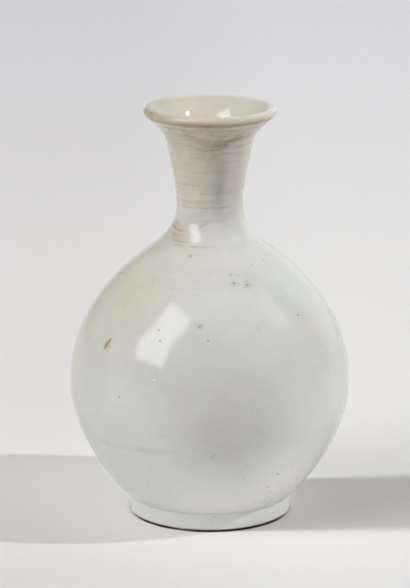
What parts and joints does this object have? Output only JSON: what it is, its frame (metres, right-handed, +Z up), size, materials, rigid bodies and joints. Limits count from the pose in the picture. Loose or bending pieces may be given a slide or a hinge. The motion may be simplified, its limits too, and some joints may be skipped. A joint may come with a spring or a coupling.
{
  "type": "bottle vase",
  "caption": "Free-standing bottle vase: a globe body on a short foot ring, under a narrow waisted neck that flares to a rounded lip, in glazed white porcelain.",
  "frame": {"origin": "on the surface the vase stands on, under the middle of the foot ring", "axes": "+Z up along the vase's axis; -Y towards the side that the picture shows"},
  "size_m": [0.1638, 0.1638, 0.24],
  "materials": {
    "porcelain": "bare fired porcelain, matt, with a toasted rim at the foot",
    "slip": "fired joining slip, matt",
    "outer_glaze": "clear pale grey-green glaze, glossy, with wiping streaks, iron specks and warm stains",
    "inner_glaze": "clear glaze, glossy",
    "base_glaze": "clear glaze, glossy, thin"
  },
  "bodies": {
    "root": {"foot_ring": "porcelain", "foot_slip": "slip", "lower_bowl": "porcelain", "belly_slip": "slip", "upper_bowl": "porcelain", "neck_slip": "slip", "neck": "porcelain", "outer_glaze": "outer_glaze", "inner_glaze": "inner_glaze", "base_glaze": "base_glaze"}
  },
  "joints": []
}
